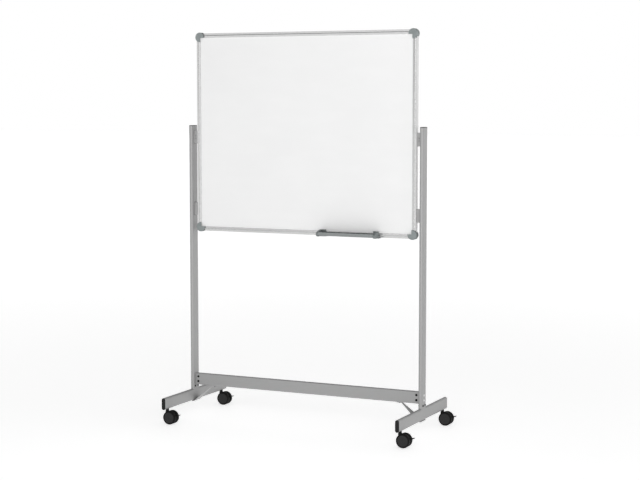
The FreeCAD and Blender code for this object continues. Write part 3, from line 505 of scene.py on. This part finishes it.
def fasteners(node, profile, axis, outward, finish, head=3.0):
    """Detailed screws in place of a CAD group.

    outward(centre) is the sign of the axis that the heads face, head is the head's or the socket's depth in
    millimetres, and finish is (material, slot name), of which the slot name is not used.
    """
    shape = bmesh.new()
    side = (axis + 1) % 3
    for low, high in solids(node):
        centre = (low + high) / 2
        sign = outward(centre)
        direction = Vector((0, 0, 0))
        direction[axis] = sign
        top = centre.copy()
        top[axis] = high[axis] if sign > 0 else low[axis]
        rings = profile((high[side] - low[side]) / 2, high[axis] - low[axis], head * MM)
        turn_profile(shape, rings, SCREW_STEPS, aim(direction, top))
    material, slot = finish
    item = finish_mesh(shape, f"{node}_detail", material)
    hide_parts(node)
    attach(item, STAND)


# Stand and board -----------------------------------------------------------------------------------

STAND = "stand_and_board"


def dress_frame():
    """Finish the stand's tubes and plates, the board's layers and corners, the pen tray and the castor
    sockets.
    """
    for side in ("left", "right"):
        dress(f"{side}_upright", PAINT)
        dress(f"{side}_foot", PAINT)
        dress(f"{side}_brace", PAINT, PLATE_EDGE)
        dress(f"{side}_foot_spigot", CAST_ALLOY, PLATE_EDGE)
        dress(f"{side}_crossbar_insert", CAST_ALLOY, PLATE_EDGE)
        dress(f"{side}_upper_bracket", BRACKET_PAINT, FINE_EDGE)
        dress(f"{side}_lower_bracket", BRACKET_PAINT, FINE_EDGE)
    dress("crossbar", PAINT)
    dress("writing_surface", ENAMEL)
    dress("board_core", CORE)
    dress("board_back", BACK_SHEET)
    for corner in ("bottom_left", "bottom_right", "top_right", "top_left"):
        dress(f"{corner}_corner", CORNER_PLASTIC, MOULDED_EDGE, 3)
    dress("bracket_studs", BRIGHT_STEEL, FINE_EDGE)
    dress("castor_sockets", BLACK_PLASTIC, PLATE_EDGE)
    dress("pen_tray", TRAY_METAL, PLATE_EDGE)
    for side in ("left", "right"):
        dress(f"pen_tray_{side}_end", TRAY_PLASTIC, MOULDED_EDGE, 3)


def rounded(corners):
    """An outline whose corners, (across, deep, radius), are turned into arcs."""
    outline = []
    for index, (across, deep, radius) in enumerate(corners):
        corner = Vector((across, deep))
        before = (Vector(corners[index - 1][:2]) - corner).normalized()
        after = (Vector(corners[(index + 1) % len(corners)][:2]) - corner).normalized()
        if not radius:
            outline.append(corner)
            continue
        half = before.angle(after) / 2
        centre = corner + (before + after).normalized() * radius / math.sin(half)
        start = corner + before * radius / math.tan(half) - centre
        end = corner + after * radius / math.tan(half) - centre
        steps = max(2, round(radius * 1.2))
        for step in range(steps + 1):
            share = step / steps
            outline.append(centre + start.slerp(end, share))
    return outline


def rail(node, outward, material):
    """Frame extrusion with a sloped inner and outer edge and a groove for the panel.

    The section runs from the outer face inwards and from the front back.
    """
    low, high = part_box(node)
    outward = Vector(outward)
    along = 2 if outward.x else 0
    across = 0 if outward.x else 2
    face = (high[across] - low[across]) / MM
    depth = (high.y - low.y) / MM
    outer = high[across] if outward[across] > 0 else low[across]
    groove_back = depth - RAIL_BACK_LIP
    outline = rounded([
        (0, depth, 1.2), (face, depth, 0.6), (face, groove_back, 0.4),
        (face - RAIL_GRIP, groove_back, 0), (face - RAIL_GRIP, RAIL_FRONT_LIP, 0),
        (face, RAIL_FRONT_LIP, 0.4), (face, RAIL_INNER_DROP, 0.5),
        (face - RAIL_SLOPE, 0, 4.0), (RAIL_SLOPE, 0, 6.0), (0, RAIL_OUTER_DROP, 1.5),
    ])
    loops = []
    shape = bmesh.new()
    for end in (low[along], high[along]):
        loop = []
        for inset, deep in outline:
            point = Vector((0, low.y + deep * MM, 0))
            point[across] = outer - outward[across] * inset * MM
            point[along] = end
            loop.append(shape.verts.new(point))
        loops.append(loop)
    loft(shape, loops)
    item = finish_mesh(shape, f"{node}_extrusion", material)
    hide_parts(node)
    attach(item, STAND)


def rails():
    """The four frame rails."""
    rail("top_rail", (0, 0, 1), RAIL_ALONG_X)
    rail("bottom_rail", (0, 0, -1), RAIL_ALONG_X)
    rail("left_rail", (-1, 0, 0), RAIL_ALONG_Z)
    rail("right_rail", (1, 0, 0), RAIL_ALONG_Z)


def outer_side(centre):
    """The heads face away from the stand's middle."""
    return 1 if centre.x > 0 else -1


def inner_side(centre):
    """The heads face the stand's middle."""
    return -outer_side(centre)


def low_side(centre):
    """All heads face the low end of their axis: forwards or down."""
    return -1


def high_side(centre):
    """All heads face the high end of their axis: backwards or up."""
    return 1


def stand_fasteners():
    """Turned and socketed screws where the CAD has plain ones."""
    black = (BLACK_STEEL, "black_screws")
    bright = (BRIGHT_STEEL, "bright_screws")
    fasteners("crossbar_bolts", socket_screw, 1, low_side, black)
    fasteners("crossbar_screws", socket_screw, 0, outer_side, bright, 1.0)
    fasteners("foot_bolts", socket_screw, 0, outer_side, black)
    fasteners("foot_nuts", dome_nut, 0, inner_side, black)
    fasteners("column_bolts", socket_screw, 2, low_side, black)
    fasteners("brace_screws", socket_screw, 2, low_side, black, 2.0)
    fasteners("corner_screws", socket_screw, 1, high_side, bright, 1.5)
    fasteners("bracket_set_screws", grub_screw, 1, low_side, black, 2.5)


def oval_loop(shape, long, thin, inset, height, spot):
    """A ring of vertices on a flat oval: long along local Y, thin along local X."""
    radius = thin / 2 - inset
    straight = (long - thin) / 2
    loop = []
    for step in range(OVAL_STEPS):
        angle = math.pi * step / (OVAL_STEPS - 1)
        loop.append(Vector((radius * math.cos(angle), straight + radius * math.sin(angle), height)))
    loop += [Vector((-point.x, -point.y, point.z)) for point in loop]
    return [shape.verts.new(spot @ point) for point in loop]


def loft(shape, loops):
    """Join rings of vertices with quads and close both ends."""
    for low, high in zip(loops, loops[1:]):
        for step in range(len(low)):
            after = (step + 1) % len(low)
            shape.faces.new((low[step], low[after], high[after], high[step]))
    shape.faces.new(loops[0][::-1])
    shape.faces.new(loops[-1])


def tube_caps():
    """Push-in caps with a rolled rim, a dished face and a ribbed plug."""
    shape = bmesh.new()
    lip = CAP_LIP * MM
    wall = CAP_WALL * MM
    for low, high in solids("tube_end_caps"):
        centre = (low + high) / 2
        size = high - low
        upright = centre.z > MIDDLE.z
        direction = Vector((0, 0, 1)) if upright else Vector((0, 1 if centre.y > 0 else -1, 0))
        axis = 2 if upright else 1
        seat = centre.copy()
        seat[axis] = high[axis] - lip if direction[axis] > 0 else low[axis] + lip
        across = Vector((1, 0, 0))
        turn = Matrix((across, direction.cross(across), direction)).transposed().to_4x4()
        spot = Matrix.Translation(seat) @ turn
        long = size[1] if upright else size[2]
        depth = size[axis] - lip

        def ring(inset, height):
            """One ring of this cap."""
            return oval_loop(shape, long, size[0], inset, height, spot)

        loops = [ring(wall + PLUG_TIP[0] * MM, -depth), ring(wall, PLUG_TIP[1] * MM - depth)]
        for rib in range(CAP_RIBS):
            level = -depth * (CAP_RIBS - rib) / (CAP_RIBS + 1)
            loops += [ring(wall + inset * MM, level + rise * MM) for inset, rise in CAP_RIB]
        loops += [ring(wall, 0.0), ring(CAP_EDGE * MM, 0.0)]
        loops += [ring(inset * MM, height * MM) for inset, height in CAP_RIM]
        loft(shape, loops)
    item = finish_mesh(shape, "tube_end_caps_detail", BLACK_PLASTIC)
    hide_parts("tube_end_caps")
    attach(item, STAND)


# Castors -------------------------------------------------------------------------------------------

CASTORS = ("left_front", "left_rear", "right_front", "right_rear")


def wheel_rings(radius, width):
    """Section of a wheel as (radius, distance from its inner face): tread from the bore, then disc."""
    tread = [(WHEEL_BORE, width - WHEEL_WALL), (WHEEL_BORE, 0.0)]
    tread += [(radius * 0.36, 0.0), (radius * 0.39, 0.9), (radius * 0.80, 0.9), (radius * 0.83, 0.0)]
    tread += [(radius - 1.0, 0.0), (radius - 0.3, 0.3), (radius, 1.0), (radius, width * 0.4)]
    for step in range(CORNER_STEPS + 1):
        angle = math.pi / 2 * step / CORNER_STEPS
        out = WHEEL_SHOULDER * (math.cos(angle) - 1)
        up = WHEEL_SHOULDER * (math.sin(angle) - 1)
        tread.append((radius + out, width + up))
    tread += [(DISC_RADIUS + out, width + up) for out, up in DISC_GAP]
    disc = [(DISC_RADIUS + out, width + up) for out, up in DISC_CROWN]
    disc += [(HUB_RADIUS + out, width + up) for out, up in DISC_HUB]
    return tread, disc + [(0.0, width - HUB_DISH)]


def castor_wheel(name, twin):
    """One wheel with a rounded tread, a shadow gap and a crowned side disc."""
    node = f"{name}_castor_{twin}_wheel"
    low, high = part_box(node)
    centre = (low + high) / 2
    housing_low, housing_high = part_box(f"{name}_castor_housing")
    axle = (housing_low.y + housing_high.y) / 2
    facing = 1 if centre.y > axle else -1
    seat = Vector((centre.x, low.y if facing > 0 else high.y, centre.z))
    tread, disc = wheel_rings((high.z - low.z) / 2 / MM, (high.y - low.y) / MM)
    rings = round_rings([(radius * MM, height * MM) for radius, height in tread + disc])
    shape = bmesh.new()
    bands = turn_profile(shape, rings, WHEEL_STEPS, aim((0, facing, 0), seat))
    for band in bands[len(tread):]:
        for face in band:
            face.material_index = 1
    item = finish_mesh(shape, f"{node}_detail", TREAD)
    item.data.materials.append(DISC_PLASTIC)
    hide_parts(node)
    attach(item, f"{name}_{twin}_wheel_body")


def bar(shape, outline, width, rounding, spot):
    """Extrude a side outline (out, up) in millimetres evenly about local Y and round its edges."""
    part = bmesh.new()
    rings = []
    for sign in (-1, 1):
        rings.append([part.verts.new((out * MM, sign * width / 2 * MM, up * MM)) for out, up in outline])
    near, far = rings
    part.faces.new(near)
    part.faces.new(far[::-1])
    for step in range(len(outline)):
        after = (step + 1) % len(outline)
        part.faces.new((near[step], far[step], far[after], near[after]))
    bmesh.ops.recalc_face_normals(part, faces=part.faces)
    edges = [edge for edge in part.edges if edge.calc_face_angle(0) > ROUND_ANGLE]
    bmesh.ops.bevel(part, geom=edges, offset=rounding * MM, segments=3, profile=0.5, affect="EDGES",
                    clamp_overlap=True)
    part.transform(spot)
    mesh = bpy.data.meshes.new("bar")
    part.to_mesh(mesh)
    part.free()
    shape.from_mesh(mesh)
    bpy.data.meshes.remove(mesh)


def brake_lever(name):
    """Thin arm on its pin, ending in a ribbed pedal."""
    node = f"{name}_brake_lever"
    joint = next(joint for joint in frame["joints"] if joint["name"] == f"{name}_brake_press")
    pivot = Vector(joint["pos_m"])
    spot = Matrix.Translation(pivot)
    shape = bmesh.new()
    bar(shape, ARM_OUTLINE, ARM_WIDTH, ARM_ROUNDING, spot)
    bar(shape, PEDAL_OUTLINE, PEDAL_WIDTH, PEDAL_ROUNDING, spot)
    pedal_start, pedal_top = PEDAL_OUTLINE[-1]
    for rib in range(RIB_COUNT):
        out = RIB_START + RIB_PITCH * rib
        up = pedal_top + PEDAL_SLOPE * (out - pedal_start)
        section = [(out + along, up + rise) for along, rise in RIB_OUTLINE]
        bar(shape, section, RIB_WIDTH, RIB_ROUNDING, spot)
    neck = PIN_RADIUS - PIN_EDGE
    shoulder = PIN_HALF_LENGTH - PIN_EDGE
    pin = [(0, -PIN_HALF_LENGTH), (neck, -PIN_HALF_LENGTH), (PIN_RADIUS, -shoulder)]
    pin += [(radius, -height) for radius, height in reversed(pin)]
    rings = round_rings([(radius * MM, height * MM) for radius, height in pin])
    turn_profile(shape, rings, SCREW_STEPS, aim((0, 1, 0), pivot))
    item = finish_mesh(shape, f"{node}_detail", CASTOR_PLASTIC)
    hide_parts(node)
    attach(item, f"{name}_brake")


def castors():
    """Housings, pins, wheels and brake levers of all four castors."""
    for name in CASTORS:
        dress(f"{name}_castor_housing", CASTOR_PLASTIC, HOUSING_EDGE, 3)
        dress(f"{name}_castor_pins", BRIGHT_STEEL, FINE_EDGE)
        for twin in ("outer", "inner"):
            castor_wheel(name, twin)
        brake_lever(name)


# Studio --------------------------------------------------------------------------------------------

def studio_floor():
    """A pale matt floor under the castors that fades to plain white in the distance."""
    surface = Surface("studio_floor", (FLOOR_WHITE, FLOOR_WHITE, FLOOR_WHITE, 1.0), 0.75)
    surface.shade(surface.vary(surface.noise(1.5, 3.0), 0.995, 1.0))
    surface.bump(surface.noise(160.0, 3.0), 0.05, 0.1)
    surface.shader.inputs["Emission Color"].default_value = (1, 1, 1, 1)
    distance = surface.add("ShaderNodeVectorMath", operation="LENGTH")
    surface.tree.links.new(surface.place, distance.inputs[0])
    glow = surface.span(distance.outputs["Value"], *FLOOR_GLOW, *FLOOR_FADE)
    surface.tree.links.new(glow, surface.shader.inputs["Emission Strength"])
    shape = bmesh.new()
    bmesh.ops.create_grid(shape, x_segments=1, y_segments=1, size=FLOOR_REACH)
    mesh = bpy.data.meshes.new("studio_floor")
    shape.to_mesh(mesh)
    shape.free()
    mesh.materials.append(surface.material)
    floor = bpy.data.objects.new("studio_floor", mesh)
    floor.location.z = CAD_BOX[0][2] - FLOOR_DROP
    bpy.context.scene.collection.objects.link(floor)


def studio_world():
    """White surroundings, darker overhead and far to the left, plain white to the camera."""
    world = bpy.data.worlds.new("studio")
    bpy.context.scene.world = world
    world.use_nodes = True
    tree = world.node_tree
    background = tree.nodes["Background"]
    split = tree.nodes.new("ShaderNodeSeparateXYZ")
    tree.links.new(tree.nodes.new("ShaderNodeTexCoord").outputs["Generated"], split.inputs[0])
    levels = []
    for axis, span in (("X", WORLD_ACROSS), ("Z", WORLD_UP)):
        ramp = tree.nodes.new("ShaderNodeMapRange")
        ramp.interpolation_type = "SMOOTHSTEP"
        for key, number in zip(("From Min", "From Max", "To Min", "To Max"), span):
            ramp.inputs[key].default_value = number
        tree.links.new(split.outputs[axis], ramp.inputs["Value"])
        levels.append(ramp.outputs["Result"])
    product = tree.nodes.new("ShaderNodeMath")
    product.operation = "MULTIPLY"
    tree.links.new(levels[0], product.inputs[0])
    tree.links.new(levels[1], product.inputs[1])
    seen = tree.nodes.new("ShaderNodeMix")
    seen.inputs["B"].default_value = 1.0
    tree.links.new(tree.nodes.new("ShaderNodeLightPath").outputs["Is Camera Ray"], seen.inputs["Factor"])
    tree.links.new(product.outputs[0], seen.inputs["A"])
    background.inputs["Color"].default_value = (1, 1, 1, 1)
    tree.links.new(seen.outputs[0], background.inputs["Strength"])


def soft_light(name, place, size, power):
    """A rectangular area light aimed at the middle of the object."""
    lamp = bpy.data.lights.new(name, "AREA")
    lamp.shape = "RECTANGLE"
    lamp.size, lamp.size_y = size
    lamp.energy = power
    item = bpy.data.objects.new(name, lamp)
    item.location = place
    item.rotation_euler = (Vector(place) - MIDDLE).to_track_quat("Z", "Y").to_euler()
    bpy.context.scene.collection.objects.link(item)


def studio_camera():
    """A long lens looking slightly down from the front right."""
    lens = bpy.data.cameras.new("camera")
    lens.lens = CAMERA_LENS
    lens.clip_end = CAMERA_REACH
    camera = bpy.data.objects.new("camera", lens)
    turn = Matrix.Rotation(CAMERA_YAW, 4, "Z") @ Matrix.Rotation(math.pi / 2 - CAMERA_PITCH, 4, "X")
    back = Matrix.Translation((0, 0, CAMERA_DISTANCE))
    camera.matrix_world = Matrix.Translation(CAMERA_TARGET) @ turn @ back
    bpy.context.scene.collection.objects.link(camera)
    bpy.context.scene.camera = camera


dress_frame()
rails()
stand_fasteners()
tube_caps()
castors()
studio_floor()
studio_world()
soft_light("key_light", KEY_PLACE, KEY_SIZE, KEY_POWER)
studio_camera()
bpy.context.scene.view_settings.view_transform = "Standard"

bpy.context.view_layer.update()
